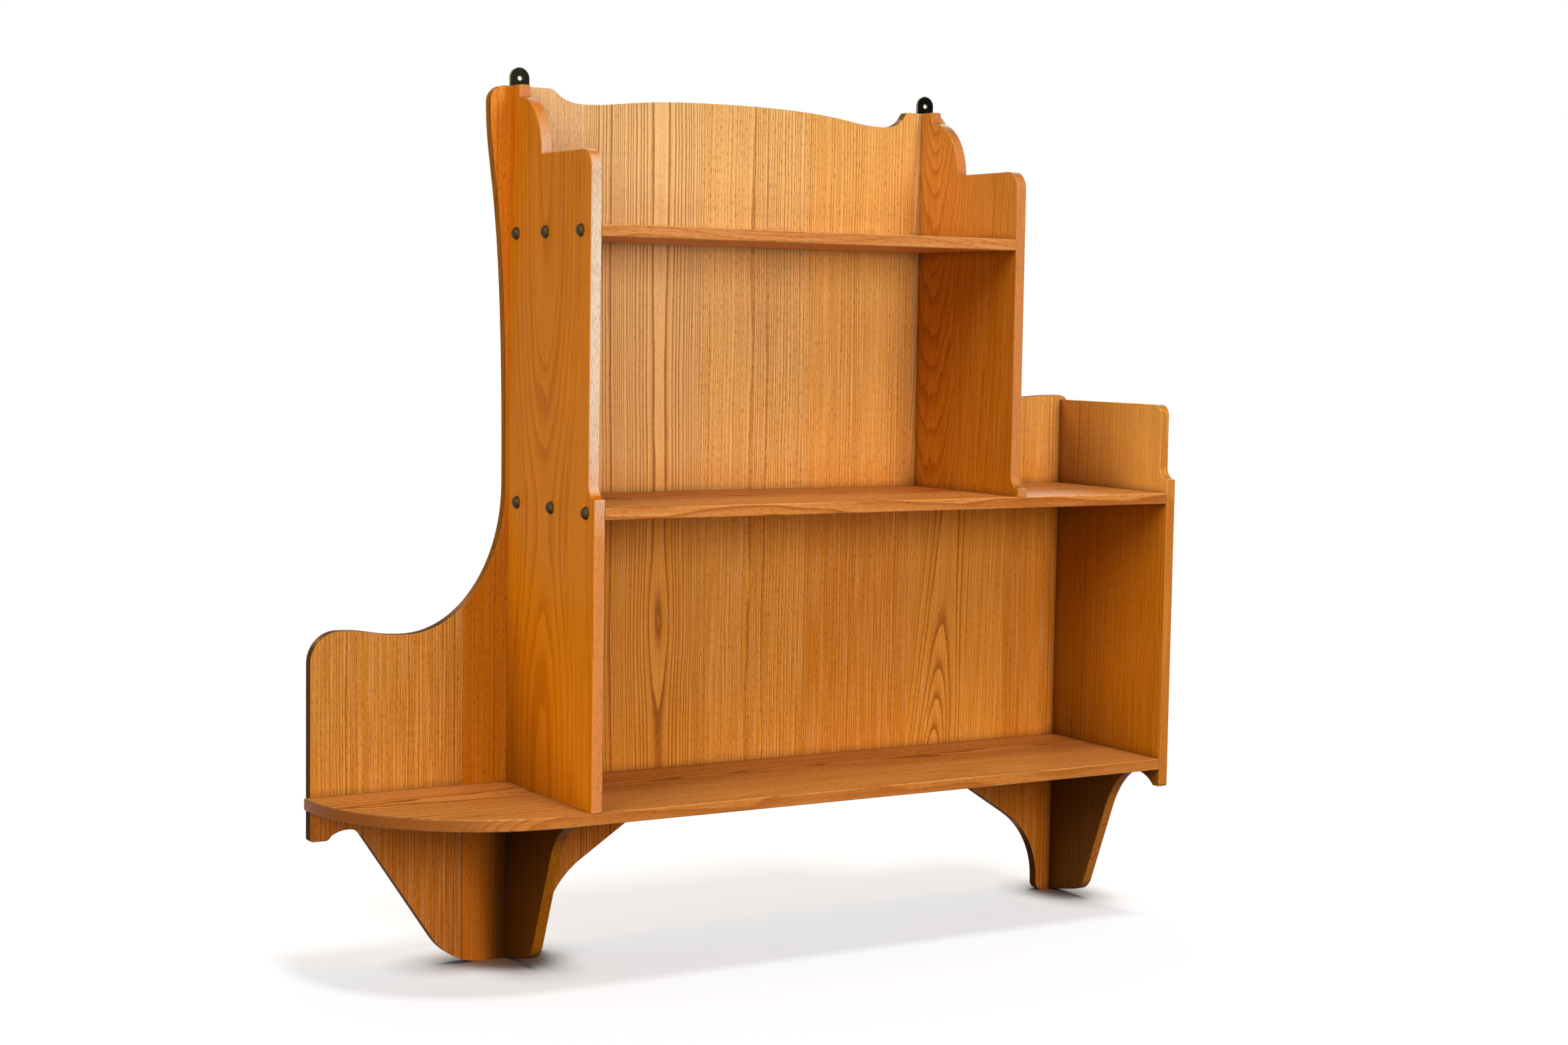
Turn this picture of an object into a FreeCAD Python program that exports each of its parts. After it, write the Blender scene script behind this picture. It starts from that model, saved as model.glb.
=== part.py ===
import FreeCAD, Part
import math
import os

from FreeCAD import Vector

# A wall-hung shelf of solid boards: two uprights, a right side panel, a left bracket, three
# shelves and a fret-cut back of edge-glued boards, hung from two brass plates.
# Sizes are millimetres. X runs right from the left upright's outer face, Z up from the feet.
# The wall is the plane Y = 0, and the front of the shelf looks towards -Y.
# Depths are measured forward from the front face of the back.

# Board thicknesses, and the flat planed on exposed corners
UPRIGHT_THICKNESS = 16.0
SHELF_THICKNESS = 16.0
BACK_THICKNESS = 16.0
ARRIS = 1.0

# Clear widths and heights of the bays
UPPER_BAY_WIDTH = 664.0
LOW_BAY_WIDTH = 259.0
FOOT_HEIGHT = 236.0
LOWER_BAY_HEIGHT = 386.0
UPPER_BAY_HEIGHT = 353.0
CREST_RISE = 194.0
PANEL_RISE = 131.0

# Depths of the side boards and shelves
LOWER_DEPTH = 267.0
UPPER_SETBACK = 18.0

# Uprights: a step with a cove above it, a round shoulder, then a rounded head and a short neck
UPRIGHT_STEP = 11.0
SHOULDER_RISE = 97.0
SHOULDER_ROUND = 25.0
HEAD_DEPTH = 99.0
NECK_DEPTH = 29.0
NECK_HEIGHT = 17.0

# Right side panel
PANEL_STEP = 20.0
PANEL_ROUND = 16.0
PANEL_HORN_DROP = 26.0
PANEL_HORN_WIDTH = 15.0
PANEL_ARCH_DROP = 9.5
PANEL_ARCH_DEPTH = 213.0
PANEL_KNEE_DROP = 75.0
HORN_ROUND = 4.0

# Legs below the bottom shelf, seen from the side
LEG_TOE_DEPTH = 84.0
LEG_LEAN = 0.4
LEG_TOE_RUN = 18.0
HEEL_RISE = 0.2
BRACKET_REACH = 236.0
BRACKET_NOSE = 5.0
BRACKET_KNEE_DROP = 66.0

# Top edge of the back
CREST_OVERHANG = 30.0
CREST_ROUND = 22.0
LEFT_SHOULDER = 42.0
LEFT_FALL = 19.0
LEFT_FALL_RUN = 54.0
LEFT_FALL_STEEP = 14.0
RIGHT_SHOULDER = 25.5
RIGHT_FALL = 24.0
RIGHT_FALL_RUN = 44.0
RIGHT_FALL_STEEP = 5.0
HUMP_FALL = 6.0
HUMP_FLANK = 65.0

# Sides of the back: a waist beside each upright and a sweep out to a low wing
WAIST_OVERHANG = 3.0
WAIST_TURN = 105.0
WING = 288.0
WING_HEIGHT = 223.0
WING_DIP = 9.0
WING_ROUND_RUN = 41.0
WING_ROUND_DROP = 43.0
LEFT_SWEEP_RUN = 147.0
LEFT_SWEEP_DROP = 202.0
RIGHT_SWEEP_RUN = 151.0
RIGHT_SWEEP_DROP = 162.0
LOW_CREST_RISE = 7.0
LOW_CREST_DIP = 4.0
LOW_CREST_ROUND = 18.0

# Bottom edge of the back: a horn at the left, two feet and the arch between them
WING_HORN_DROP = 45.0
WING_HORN_WIDTH = 26.0
WING_HORN_FLANK_RUN = 4.0
WING_HORN_FLANK_RISE = 6.0
WING_ARCH_RISE = 13.0
WING_ARCH_PEAK = 54.0
SLOPE_TOP_INSET = 68.0
SLOPE_TOP_RUN = 13.0
LEFT_TOE = 83.0
LEFT_TOE_RUN = 48.0
LEFT_FOOT_REACH = 42.0
RIGHT_FOOT_REACH = 26.0
FOOT_ROUND = 14.0
ARCH_SIDE_HEIGHT = 90.5
ARCH_SIDE_RUN = 70.5
ARCH_SLOPE = 0.65
ARCH_TOP_DROP = 10.0
ARCH_TOP_RUN = 40.0

# Boards of the back: the two outer ones, and equal ones between them
LEFT_BOARD_WIDTH = 222.0
RIGHT_BOARD_WIDTH = 117.0
BACK_BOARDS = 7

# Rounded left end of the bottom shelf
WING_NOSE = 8.5
NOSE_STRAIGHT = 15.0
NOSE_ROUND_RUN = 265.0

# Stopped housings that take the shelf ends
HOUSING_DEPTH = 5.0
HOUSING_STOP = 20.0

# Dome-headed nails through the side boards into the shelf ends
NAIL_HEAD_DIAMETER = 17.5
NAIL_HEAD_HEIGHT = 7.5
NAIL_SHANK_DIAMETER = 3.5
NAIL_LENGTH = 45.0
NAIL_POINT = 6.0
TOP_NAIL_BACK = 23.0
TOP_NAIL_MIDDLE = 115.0
TOP_NAIL_FRONT = 28.0
LOW_NAIL_BACK = 30.0
LOW_NAIL_MIDDLE = 137.0
LOW_NAIL_FRONT = 24.5

# Slotted screws through the back into the edges of the other boards
SCREW_HEAD_DIAMETER = 8.0
SCREW_SHANK_DIAMETER = 4.0
SCREW_LENGTH = 44.0
SCREW_POINT = 5.0
SCREW_SLOT_WIDTH = 1.0
SCREW_SLOT_DEPTH = 1.0
SCREW_SLOT_TURN = 40.0
SCREW_END_MARGIN = 65.0
LEFT_UPRIGHT_SCREWS = 5
RIGHT_UPRIGHT_SCREWS = 3
PANEL_SCREWS = 4
BRACKET_SCREWS = 2

# Dowels that join the uprights and the bracket to the shelves
DOWEL_DIAMETER = 8.0
DOWEL_IN_SHELF = 7.0
DOWEL_IN_BOARD = 25.0
DOWEL_BACK_MARGIN = 45.0
DOWEL_FRONT_MARGIN = 35.0
UPRIGHT_DOWELS = 3
BRACKET_DOWEL_PITCH = 60.0
BRACKET_DOWELS = 2

# Brass hanging plates let into the back
PLATE_WIDTH = 30.0
PLATE_THICKNESS = 2.0
PLATE_RISE = 27.5
PLATE_DROP = 52.0
PLATE_INSET = 20.0
PLATE_BEVEL = 0.6
PLATE_FOOT_ROUND = 4.0
PLATE_HOLE_DIAMETER = 6.0
PLATE_SCREW_DROP = 18.0
PLATE_SCREW_PITCH = 22.0
PLATE_SCREW_LENGTH = 13.0
PLATE_SCREWS = 2

# Depths that follow from the ones above: the upper boards, and the nails in each row
UPPER_DEPTH = LOWER_DEPTH - UPPER_SETBACK
TOP_NAILS = (TOP_NAIL_BACK, TOP_NAIL_MIDDLE, UPPER_DEPTH - TOP_NAIL_FRONT)
LOW_NAILS = (LOW_NAIL_BACK, LOW_NAIL_MIDDLE, LOWER_DEPTH - LOW_NAIL_FRONT)

# Positions across the width
LEFT_INNER = UPRIGHT_THICKNESS
RIGHT_INNER = LEFT_INNER + UPPER_BAY_WIDTH
RIGHT_OUTER = RIGHT_INNER + UPRIGHT_THICKNESS
PANEL_INNER = RIGHT_OUTER + LOW_BAY_WIDTH
PANEL_OUTER = PANEL_INNER + UPRIGHT_THICKNESS

# Heights above the feet
BOTTOM_SHELF_TOP = FOOT_HEIGHT + SHELF_THICKNESS
MIDDLE_SHELF_TOP = BOTTOM_SHELF_TOP + LOWER_BAY_HEIGHT + SHELF_THICKNESS
TOP_SHELF_TOP = MIDDLE_SHELF_TOP + UPPER_BAY_HEIGHT + SHELF_THICKNESS
CREST = TOP_SHELF_TOP + CREST_RISE
PANEL_TOP = MIDDLE_SHELF_TOP + PANEL_RISE

# The reference point of the part lies midway between the hanging holes, on the wall
LEFT_HOOK = PLATE_INSET
RIGHT_HOOK = RIGHT_OUTER
HOOK_HEIGHT = CREST + PLATE_RISE - PLATE_WIDTH / 2
REFERENCE = Vector((LEFT_HOOK + RIGHT_HOOK) / 2, 0, HOOK_HEIGHT)

TOLERANCE = 1e-4


def side_view(depth, height):
    """A point of a side board's outline, on the plane X = 0."""
    return Vector(0, -BACK_THICKNESS - depth, height)


def front_view(across, height):
    """A point of the back's outline, on the wall."""
    return Vector(across, 0, height)


def plan_view(across, depth):
    """A point of a shelf's outline, on the plane Z = 0."""
    return Vector(across, -BACK_THICKNESS - depth, 0)


def stepped(origin, towards, distance):
    """The point that lies a given distance from the origin towards another point."""
    share = distance / math.dist(origin, towards)
    return tuple(o + (t - o) * share for o, t in zip(origin, towards))


def spread(first, last, count):
    """Evenly spaced places from the first to the last."""
    return [first + (last - first) * index / (count - 1) for index in range(count)]


class Outline:
    """A closed outline of straight runs, tangent bends and S-curves in one of the views."""

    def __init__(self, view, u, v):
        self.view = view
        self.start = (u, v)
        self.at = (u, v)
        self.edges = []

    def line(self, u, v):
        if math.dist(self.at, (u, v)) > TOLERANCE:
            self.edges.append(Part.LineSegment(self.view(*self.at), self.view(u, v)).toShape())
        self.at = (u, v)

    def curve(self, *poles, weight=1.0):
        bezier = Part.BezierCurve()
        bezier.setPoles([self.view(*pole) for pole in (self.at, *poles)])
        bezier.setWeight(2, weight)
        self.edges.append(bezier.toShape())
        self.at = poles[-1]

    def bend(self, corner, end):
        """Round a corner: a circle where its two runs are equal, else part of an ellipse."""
        before = self.view(*corner) - self.view(*self.at)
        after = self.view(*end) - self.view(*corner)
        self.curve(corner, end, weight=math.cos(before.getAngle(after) / 2))

    def scoop(self, u, v):
        """A circular arc from here that arrives level at its peak."""
        across = u - self.at[0]
        rise = v - self.at[1]
        reach = (across**2 + rise**2) / (2 * across)
        self.bend((u - reach, v), (u, v))

    def ogee(self, u, v, steepest):
        """An S-curve with level ends, steepest at the given u."""
        self.curve((steepest, self.at[1]), (steepest, v), (u, v))

    def sway(self, u, v, turn):
        """An S-curve with upright ends that turns over at the given v."""
        self.curve((self.at[0], turn), (u, turn), (u, v))

    def corners(self, corners, last):
        """Straight runs through corners (u, v, run), each rounded over its run on both sides."""
        places = [self.at, *[corner[:2] for corner in corners], last]
        for index, (u, v, run) in enumerate(corners, start=1):
            self.line(*stepped((u, v), places[index - 1], run))
            if run:
                self.bend((u, v), stepped((u, v), places[index + 1], run))
        self.line(*last)

    def solid(self, extent):
        """Close the outline and give it a thickness."""
        self.line(*self.start)
        return Part.Face(Part.Wire(self.edges)).extrude(extent)


def block(left, right, depths, heights):
    """A plain block between two positions across, two depths and two heights."""
    corner = Vector(left, -BACK_THICKNESS - depths[1], heights[0])
    return Part.makeBox(right - left, depths[1] - depths[0], heights[1] - heights[0], corner)


def eased(solid, exposed):
    """Plane a narrow flat on the edges that the test on their bounding box calls exposed."""
    return solid.makeChamfer(ARRIS, [edge for edge in solid.Edges if exposed(edge.BoundBox)])


def side_board(outline, left, seat=None):
    """A side board from its outline; the edges at its back and at any seat stay sharp."""

    def exposed(box):
        on_back = box.YMin > -BACK_THICKNESS - TOLERANCE
        on_seat = seat is not None and max(abs(box.ZMin - seat), abs(box.ZMax - seat)) < TOLERANCE
        return box.XLength < TOLERANCE and not on_back and not on_seat

    board = eased(outline.solid(Vector(UPRIGHT_THICKNESS, 0, 0)), exposed)
    return board.translated(Vector(left, 0, 0))


def upright(left, seat):
    """A tall side board that stands on a shelf."""
    step = MIDDLE_SHELF_TOP + UPRIGHT_STEP
    shoulder = TOP_SHELF_TOP + SHOULDER_RISE
    head = CREST - NECK_HEIGHT
    front = [
        (LOWER_DEPTH, seat, 0),
        (LOWER_DEPTH, step, 0),
        (UPPER_DEPTH, step, UPPER_SETBACK),
        (UPPER_DEPTH, shoulder, SHOULDER_ROUND),
    ]
    outline = Outline(side_view, 0, seat)
    outline.corners(front, (HEAD_DEPTH, shoulder))
    outline.bend((HEAD_DEPTH, head), (NECK_DEPTH, head))
    outline.line(NECK_DEPTH, CREST)
    outline.line(0, CREST)
    return side_board(outline, left, seat)


def draw_leg(outline, top, knee_drop):
    """The front of a leg: a knee level with its top, a lean back to the toe, a rising sole."""
    toe = LEG_TOE_DEPTH * HEEL_RISE
    knee = LEG_TOE_DEPTH + (top - toe) * LEG_LEAN
    outline.bend((knee, top), stepped((knee, top), (LEG_TOE_DEPTH, toe), knee_drop))
    outline.corners([(LEG_TOE_DEPTH, toe, LEG_TOE_RUN)], (0, 0))


def right_panel():
    """The low right side: it carries the bottom and middle shelves and ends in a leg."""
    step = MIDDLE_SHELF_TOP + PANEL_STEP
    horn = FOOT_HEIGHT - PANEL_HORN_DROP
    arch = FOOT_HEIGHT - PANEL_ARCH_DROP
    front = [
        (UPPER_DEPTH, PANEL_TOP, PANEL_ROUND),
        (UPPER_DEPTH, step, UPPER_SETBACK),
        (LOWER_DEPTH, step, 0),
        (LOWER_DEPTH, horn, HORN_ROUND),
    ]
    outline = Outline(side_view, 0, PANEL_TOP)
    outline.corners(front, (LOWER_DEPTH - PANEL_HORN_WIDTH, horn))
    outline.scoop(PANEL_ARCH_DEPTH, arch)
    draw_leg(outline, arch, PANEL_KNEE_DROP)
    return side_board(outline, PANEL_INNER)


def left_bracket():
    """The left leg, a bracket under the bottom shelf in line with the left upright."""
    nose = FOOT_HEIGHT - BRACKET_NOSE
    outline = Outline(side_view, 0, FOOT_HEIGHT)
    outline.line(BRACKET_REACH, FOOT_HEIGHT)
    outline.line(BRACKET_REACH, nose)
    draw_leg(outline, nose, BRACKET_KNEE_DROP)
    return side_board(outline, 0, FOOT_HEIGHT)


def tongue(left, depth, top):
    """The end of a shelf that fills a housing and stops short of the front edge."""
    return block(left, left + HOUSING_DEPTH, (0, depth - HOUSING_STOP), (top - SHELF_THICKNESS, top))


def straight_shelf(left, right, depth, top):
    """A straight shelf between two side boards, before its tongues are added."""
    shelf = block(left, right, (0, depth), (top - SHELF_THICKNESS, top))
    front = -BACK_THICKNESS - depth

    def exposed(box):
        return box.YMax < front + TOLERANCE and box.ZLength < TOLERANCE

    return eased(shelf, exposed)


def wing_shelf(top):
    """The bottom shelf, with a quarter-round left end, before its tongue is added."""
    nose = -WING - WING_NOSE
    outline = Outline(plan_view, PANEL_INNER, 0)
    outline.line(nose, 0)
    outline.line(nose, NOSE_STRAIGHT)
    outline.bend((nose, LOWER_DEPTH), (nose + NOSE_ROUND_RUN, LOWER_DEPTH))
    outline.line(PANEL_INNER, LOWER_DEPTH)

    def exposed(box):
        on_back = box.YMin > -BACK_THICKNESS - TOLERANCE
        on_end = box.XMin > PANEL_INNER - TOLERANCE
        return box.ZLength < TOLERANCE and not on_back and not on_end

    board = eased(outline.solid(Vector(0, 0, SHELF_THICKNESS)), exposed)
    return board.translated(Vector(0, 0, top - SHELF_THICKNESS))


def draw_left_side(outline):
    """The back's left edge, from the crest down to the straight end of the wing."""
    edge = -CREST_OVERHANG
    waist = -WAIST_OVERHANG
    round_end = CREST - CREST_ROUND
    wing_top = BOTTOM_SHELF_TOP + WING_HEIGHT
    dip = wing_top - WING_DIP
    hump = WING_ROUND_RUN - WING
    outline.line(edge + CREST_ROUND, CREST)
    outline.bend((edge, CREST), (edge, round_end))
    outline.sway(waist, dip + LEFT_SWEEP_DROP, round_end - WAIST_TURN)
    outline.bend((waist, dip), (waist - LEFT_SWEEP_RUN, dip))
    outline.ogee(hump, wing_top, (outline.at[0] + hump) / 2)
    outline.bend((-WING, wing_top), (-WING, wing_top - WING_ROUND_DROP))


def draw_bottom_edge(outline):
    """The back's horn, its two feet and the arch between them."""
    horn = FOOT_HEIGHT - WING_HORN_DROP
    horn_arch = horn + WING_ARCH_RISE
    left_foot = LEFT_INNER + LEFT_FOOT_REACH
    right_foot = PANEL_INNER - RIGHT_FOOT_REACH
    arch_top = FOOT_HEIGHT - ARCH_TOP_DROP
    spring = (arch_top - ARCH_SIDE_HEIGHT) / ARCH_SLOPE
    feet = [
        (SLOPE_TOP_INSET - WING, horn_arch, SLOPE_TOP_RUN),
        (-LEFT_TOE, 0, LEFT_TOE_RUN),
        (left_foot, 0, FOOT_ROUND),
        (left_foot, ARCH_SIDE_HEIGHT, ARCH_SIDE_RUN),
        (left_foot + spring, arch_top, ARCH_TOP_RUN),
        (right_foot - spring, arch_top, ARCH_TOP_RUN),
        (right_foot, ARCH_SIDE_HEIGHT, ARCH_SIDE_RUN),
        (right_foot, 0, FOOT_ROUND),
    ]
    inner = WING_HORN_WIDTH - WING
    flank = (inner + WING_HORN_FLANK_RUN, horn + WING_HORN_FLANK_RISE)
    outline.corners([(-WING, horn, HORN_ROUND), (inner, horn, HORN_ROUND)], flank)
    outline.scoop(WING_ARCH_PEAK - WING, horn_arch)
    outline.corners(feet, (PANEL_OUTER, 0))


def draw_right_side(outline):
    """The back's right edge, from the foot over the low crest and up to the main crest."""
    low_crest = PANEL_TOP + LOW_CREST_RISE
    dip = low_crest - LOW_CREST_DIP
    edge = RIGHT_OUTER + CREST_OVERHANG
    waist = RIGHT_OUTER + WAIST_OVERHANG
    sweep_foot = waist + RIGHT_SWEEP_RUN
    round_end = CREST - CREST_ROUND
    outline.corners([(PANEL_OUTER, low_crest, LOW_CREST_ROUND)], (PANEL_OUTER - LOW_CREST_ROUND, low_crest))
    outline.ogee(sweep_foot, dip, (outline.at[0] + sweep_foot) / 2)
    outline.bend((waist, dip), (waist, dip + RIGHT_SWEEP_DROP))
    outline.sway(edge, round_end, round_end - WAIST_TURN)
    outline.bend((edge, CREST), (edge - CREST_ROUND, CREST))


def draw_top_edge(outline):
    """The back's top edge: flat shoulders, a dip beside each and a low hump between them."""
    left_end = LEFT_INNER + LEFT_SHOULDER
    left_dip = left_end + LEFT_FALL_RUN
    right_end = RIGHT_INNER - RIGHT_SHOULDER
    right_dip = right_end - RIGHT_FALL_RUN
    middle = (LEFT_INNER + RIGHT_INNER) / 2
    outline.line(right_end, CREST)
    outline.ogee(right_dip, CREST - RIGHT_FALL, right_end - RIGHT_FALL_STEEP)
    outline.ogee(middle, CREST - HUMP_FALL, right_dip - HUMP_FLANK)
    outline.ogee(left_dip, CREST - LEFT_FALL, left_dip + HUMP_FLANK)
    outline.ogee(left_end, CREST, left_end + LEFT_FALL_STEEP)


def back_panel():
    """The whole back before it is divided into boards."""
    outline = Outline(front_view, LEFT_INNER + LEFT_SHOULDER, CREST)
    draw_left_side(outline)
    draw_bottom_edge(outline)
    draw_right_side(outline)
    draw_top_edge(outline)
    return outline.solid(Vector(0, -BACK_THICKNESS, 0))


def back_joints():
    """Positions of the back's board edges across the width, both ends included."""
    first = LEFT_BOARD_WIDTH - WING
    last = PANEL_OUTER - RIGHT_BOARD_WIDTH
    return [-WING, *spread(first, last, BACK_BOARDS - 1), PANEL_OUTER]


def back_boards():
    """The vertical boards of the back, from left to right."""
    panel = back_panel()
    edges = back_joints()
    heights = (0, CREST)
    strips = [block(left, right, (-BACK_THICKNESS, 0), heights) for left, right in zip(edges, edges[1:])]
    return [panel.common(strip) for strip in strips]


def turned(profile, axis):
    """A solid of revolution about an axis through the origin."""
    face = Part.Face(Part.makePolygon([*profile, profile[0]]))
    return face.revolve(Vector(0, 0, 0), axis, 360)


def nail():
    """A dome-headed nail along +X, with the underside of its head at the origin."""
    head = NAIL_HEAD_DIAMETER / 2
    shank = NAIL_SHANK_DIAMETER / 2
    dome_radius = (head**2 + NAIL_HEAD_HEIGHT**2) / (2 * NAIL_HEAD_HEIGHT)
    dome = Part.makeSphere(dome_radius, Vector(dome_radius - NAIL_HEAD_HEIGHT, 0, 0), Vector(1, 0, 0))
    ball = 2 * dome_radius
    outside = Part.makeBox(ball, ball, ball, Vector(-ball, -dome_radius, -dome_radius))
    profile = [
        Vector(-NAIL_HEAD_HEIGHT / 2, 0, 0),
        Vector(-NAIL_HEAD_HEIGHT / 2, shank, 0),
        Vector(NAIL_LENGTH - NAIL_POINT, shank, 0),
        Vector(NAIL_LENGTH, 0, 0),
    ]
    return dome.common(outside).fuse(turned(profile, Vector(1, 0, 0))).removeSplitter()


def nail_row(face, inward, depths, shelf_top):
    """A row of nails driven through a side board's outer face into the end of a shelf."""
    height = shelf_top - SHELF_THICKNESS / 2
    pattern = nail()
    if inward < 0:
        pattern.rotate(Vector(0, 0, 0), Vector(0, 0, 1), 180)
    return [pattern.translated(side_view(place, height) + Vector(face, 0, 0)) for place in depths]


def screw_blank(length):
    """A countersunk screw along -Y with its head flush with the wall, before it is slotted."""
    head = SCREW_HEAD_DIAMETER / 2
    shank = SCREW_SHANK_DIAMETER / 2
    profile = [
        Vector(0, 0, 0),
        Vector(head, 0, 0),
        Vector(shank, shank - head, 0),
        Vector(shank, SCREW_POINT - length, 0),
        Vector(0, -length, 0),
    ]
    return turned(profile, Vector(0, 1, 0))


def screws(length, places):
    """Screw blanks at places (across, height) on the wall side of the back."""
    blank = screw_blank(length)
    return [blank.translated(front_view(*place)) for place in places]


def slotted(blanks):
    """The same screws with a driver slot across each head, no two neighbours alike."""
    finished = []
    for index, blank in enumerate(blanks):
        middle = blank.BoundBox.Center
        head = Vector(middle.x, 0, middle.z)
        corner = Vector(-SCREW_HEAD_DIAMETER / 2, -SCREW_SLOT_DEPTH, -SCREW_SLOT_WIDTH / 2)
        slot = Part.makeBox(SCREW_HEAD_DIAMETER, SCREW_SLOT_DEPTH, SCREW_SLOT_WIDTH, corner)
        slot.rotate(Vector(0, 0, 0), Vector(0, 1, 0), SCREW_SLOT_TURN * index)
        finished.append(blank.cut(slot.translated(head)))
    return finished


def back_screw_places():
    """Screws into the back edges of the side boards, and one per board into each shelf."""
    half = UPRIGHT_THICKNESS / 2
    columns = [
        (half, BOTTOM_SHELF_TOP, CREST, LEFT_UPRIGHT_SCREWS),
        (RIGHT_INNER + half, MIDDLE_SHELF_TOP, CREST, RIGHT_UPRIGHT_SCREWS),
        (PANEL_INNER + half, 0, PANEL_TOP, PANEL_SCREWS),
        (half, 0, FOOT_HEIGHT, BRACKET_SCREWS),
    ]
    rows = [
        (LEFT_INNER, RIGHT_INNER, TOP_SHELF_TOP),
        (LEFT_INNER, PANEL_INNER, MIDDLE_SHELF_TOP),
        (-WING, PANEL_INNER, BOTTOM_SHELF_TOP),
    ]
    places = []
    for across, low, high, count in columns:
        heights = spread(low + SCREW_END_MARGIN, high - SCREW_END_MARGIN, count)
        places += [(across, height) for height in heights]
    edges = back_joints()
    for left, right, top in rows:
        middles = [(one + other) / 2 for one, other in zip(edges, edges[1:])]
        inside = [x for x in middles if left + SCREW_END_MARGIN < x < right - SCREW_END_MARGIN]
        places += [(across, top - SHELF_THICKNESS / 2) for across in inside]
    return places


def dowels(left, depths, low, high):
    """Upright dowels through the middle of a side board's thickness."""
    foot = Vector(left + UPRIGHT_THICKNESS / 2, 0, 0)
    radius = DOWEL_DIAMETER / 2
    return [Part.makeCylinder(radius, high - low, side_view(depth, low) + foot) for depth in depths]


def upright_dowels(left, seat):
    """Dowels between an upright's foot and the shelf that it stands on."""
    depths = spread(DOWEL_BACK_MARGIN, LOWER_DEPTH - DOWEL_FRONT_MARGIN, UPRIGHT_DOWELS)
    return dowels(left, depths, seat - DOWEL_IN_SHELF, seat + DOWEL_IN_BOARD)


def bracket_dowels():
    """Dowels between the bottom shelf and the top of the left bracket."""
    depths = [DOWEL_BACK_MARGIN + BRACKET_DOWEL_PITCH * index for index in range(BRACKET_DOWELS)]
    return dowels(0, depths, FOOT_HEIGHT - DOWEL_IN_BOARD, FOOT_HEIGHT + DOWEL_IN_SHELF)


def plate_blank(across):
    """A round-topped hanging plate before its holes are made; it also cuts its own recess."""
    half = PLATE_WIDTH / 2
    foot = CREST - PLATE_DROP
    top = CREST + PLATE_RISE
    outline = Outline(front_view, across, foot)
    run = [
        (across + half, foot, PLATE_FOOT_ROUND),
        (across + half, top, half),
        (across - half, top, half),
        (across - half, foot, PLATE_FOOT_ROUND),
    ]
    outline.corners(run, (across, foot))
    return outline.solid(Vector(0, -PLATE_THICKNESS, 0))


def plate_screw_places(across):
    """Places of a plate's fixing screws."""
    return [(across, CREST - PLATE_SCREW_DROP - PLATE_SCREW_PITCH * index) for index in range(PLATE_SCREWS)]


def hanging_plate(across, blanks):
    """A finished plate: bevelled front edge, hanging hole and countersunk screw holes."""
    blank = plate_blank(across)
    front = [edge for edge in blank.Edges if edge.BoundBox.YMax < TOLERANCE - PLATE_THICKNESS]
    bevelled = blank.makeChamfer(PLATE_BEVEL, front)
    hole = Part.makeCylinder(
        PLATE_HOLE_DIAMETER / 2, PLATE_THICKNESS, front_view(across, HOOK_HEIGHT), Vector(0, -1, 0)
    )
    return bevelled.cut([hole, *blanks])


def without(board, tools):
    """Cut from a board whatever passes into it."""
    met = [tool for tool in tools if tool.BoundBox.intersect(board.BoundBox)]
    return board.cut(met) if met else board


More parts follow.
